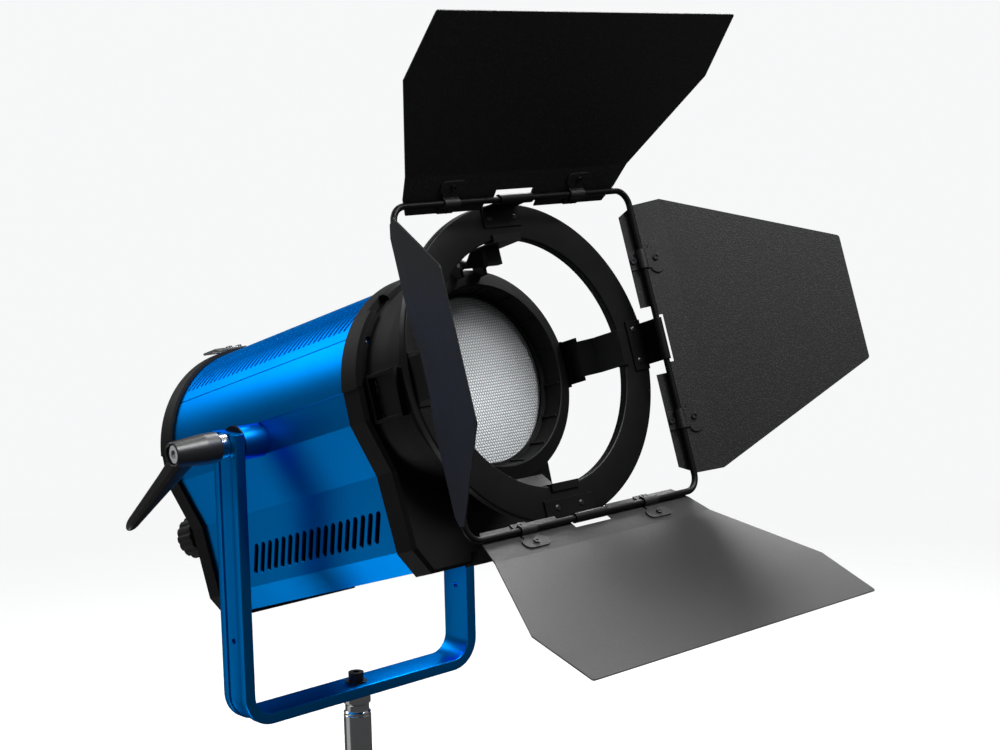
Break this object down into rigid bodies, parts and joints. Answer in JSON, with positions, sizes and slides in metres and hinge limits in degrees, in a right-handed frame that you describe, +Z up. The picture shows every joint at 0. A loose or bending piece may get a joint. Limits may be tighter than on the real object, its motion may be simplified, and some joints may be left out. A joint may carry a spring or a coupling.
{
  "type": "fresnel spotlight",
  "caption": "Focusing LED studio lamp in a tilting yoke, with a sliding light engine behind a fresnel lens and a rotating barn door of hinged leaves.",
  "frame": {"origin": "on the stand pin's axis, at the shoulder where the pin seats in a stand's socket", "axes": "+Z up along the stand pin, the lamp shines towards -Y, +X to the right of someone looking along +Y"},
  "size_m": [0.5669, 0.7528, 0.7528],
  "materials": {
    "blue_anodised": "satin blue anodised",
    "black_textured_plastic": "fine moulded texture",
    "black_powder_coat": "fine speckled powder coat",
    "black_lever": "satin black die casting",
    "bright_steel": "polished plating",
    "dark_steel": "black oxide",
    "spring_steel": "drawn wire",
    "bare_aluminium": "machined",
    "lens_glass": "frosted pebbled glass",
    "black_nylon": "smooth nylon",
    "soft_knob": "fine matte",
    "gloss_black": "polished",
    "contact_metal": "plated",
    "led_phosphor": "yellow phosphor on a white board"
  },
  "bodies": {
    "yoke": {"yoke_bracket": "blue_anodised", "stand_spigot": "bright_steel", "spigot_bolt": "dark_steel", "friction_washers": "black_nylon"},
    "head": {"top_shell": "blue_anodised", "left_shell": "blue_anodised", "right_shell": "blue_anodised", "bottom_plate": "blue_anodised", "pivot_bosses": "blue_anodised", "right_pivot_bolt": "dark_steel", "front_bezel": "black_textured_plastic", "lens_tube": "black_textured_plastic", "fresnel_lens": "lens_glass", "lens_clamp_ring": "black_textured_plastic", "ring_brackets": "black_powder_coat", "latch_pin": "bright_steel", "rear_bezel": "black_textured_plastic", "rear_panel": "black_powder_coat", "display_case": "black_textured_plastic", "display_window": "gloss_black", "power_inlet": "black_nylon", "contact_pins": "contact_metal", "data_connectors": "dark_steel", "switch_housing": "black_nylon", "safety_eye": "bright_steel", "rear_screws": "bright_steel", "guide_rods": "bright_steel", "power_supply": "bare_aluminium"},
    "clamp_stud": {"lever_stud": "bright_steel", "lever_screw": "bright_steel", "lever_spring": "spring_steel"},
    "clamp_handle": {"lever_handle": "black_lever"},
    "ring_latch": {"top_latch": "black_powder_coat"},
    "barndoor": {"barndoor_ring": "black_powder_coat", "ring_tabs": "black_powder_coat", "tab_rivets": "dark_steel", "rod_frame": "black_powder_coat"},
    "focus_drive": {"focus_knob": "soft_knob", "lead_screw": "bright_steel"},
    "carriage": {"carriage_plate": "bare_aluminium", "lead_nut": "contact_metal", "heat_sink": "bare_aluminium", "led_module": "led_phosphor", "reflector": "bare_aluminium", "fan_frame": "black_nylon"},
    "fan": {"fan_rotor": "black_nylon"},
    "dimmer": {"dimmer_knob": "soft_knob"},
    "power_rocker": {"switch_rocker": "gloss_black"},
    "top_leaf": {"top_leaf": "black_powder_coat", "top_leaf_clips": "black_powder_coat", "top_leaf_screws": "dark_steel"},
    "bottom_leaf": {"bottom_leaf": "black_powder_coat", "bottom_leaf_clips": "black_powder_coat", "bottom_leaf_screws": "dark_steel"},
    "left_leaf": {"left_leaf": "black_powder_coat", "left_leaf_clips": "black_powder_coat", "left_leaf_screws": "dark_steel"},
    "right_leaf": {"right_leaf": "black_powder_coat", "right_leaf_clips": "black_powder_coat", "right_leaf_screws": "dark_steel"}
  },
  "joints": [
    {"name": "head_tilt", "type": "hinge", "parent": "yoke", "child": "head", "pos_m": [0, 0, 0.3012], "axis": [-1, 0, 0], "range_deg": [-67.5, 72.4]},
    {"name": "lever_turn", "type": "hinge", "parent": "head", "child": "clamp_stud", "pos_m": [0, 0, 0.3012], "axis": [-1, 0, 0], "range_deg": [-60, 60]},
    {"name": "lever_lift", "type": "slide", "parent": "clamp_stud", "child": "clamp_handle", "axis": [-1, 0, 0], "range_m": [0, 0.005], "stiffness_N_per_m": 400, "springref_m": -0.004},
    {"name": "latch_press", "type": "hinge", "parent": "head", "child": "ring_latch", "pos_m": [0, -0.19382, 0.47424], "axis": [1, 0, 0], "range_deg": [0, 5.5], "stiffness_Nm_per_rad": 0.6, "springref_deg": -28.65},
    {"name": "barndoor_spin", "type": "hinge", "parent": "head", "child": "barndoor", "pos_m": [0, -0.27112, 0.38909], "axis": [0, -0.9534, 0.3017], "continuous": true},
    {"name": "focus_turn", "type": "hinge", "parent": "head", "child": "focus_drive", "pos_m": [-0.072, 0.15942, 0.17523], "axis": [0, -0.9534, 0.3017], "range_deg": [-1056, 756]},
    {"name": "carriage_slide", "type": "slide", "parent": "head", "child": "carriage", "axis": [0, -0.9534, 0.3017], "range_m": [-0.07, 0.05]},
    {"name": "fan_spin", "type": "hinge", "parent": "carriage", "child": "fan", "pos_m": [0, 0, 0.3012], "axis": [0, -0.9534, 0.3017], "continuous": true},
    {"name": "dimmer_turn", "type": "hinge", "parent": "head", "child": "dimmer", "pos_m": [0.036, 0.16564, 0.24459], "axis": [0, 0.9534, -0.3017], "range_deg": [-140, 140]},
    {"name": "power_rock", "type": "hinge", "parent": "head", "child": "power_rocker", "pos_m": [0.03, 0.12238, 0.145], "axis": [1, 0, 0], "range_deg": [0, 18]},
    {"name": "top_leaf_hinge", "type": "hinge", "parent": "barndoor", "child": "top_leaf", "pos_m": [0, -0.25315, 0.5367], "axis": [1, 0, 0], "range_deg": [-68, 57]},
    {"name": "bottom_leaf_hinge", "type": "hinge", "parent": "barndoor", "child": "bottom_leaf", "pos_m": [0, -0.34133, 0.25802], "axis": [-1, 0, 0], "range_deg": [-67, 58]},
    {"name": "right_leaf_hinge", "type": "hinge", "parent": "barndoor", "child": "right_leaf", "pos_m": [0.14615, -0.29724, 0.39736], "axis": [0, -0.3017, -0.9534], "range_deg": [-48, 101]},
    {"name": "left_leaf_hinge", "type": "hinge", "parent": "barndoor", "child": "left_leaf", "pos_m": [-0.14615, -0.29724, 0.39736], "axis": [0, 0.3017, 0.9534], "range_deg": [-73, 76]}
  ],
  "couplings": [
    {"joint": "focus_turn", "follows": "carriage_slide", "rad_per_m": 261.8}
  ]
}
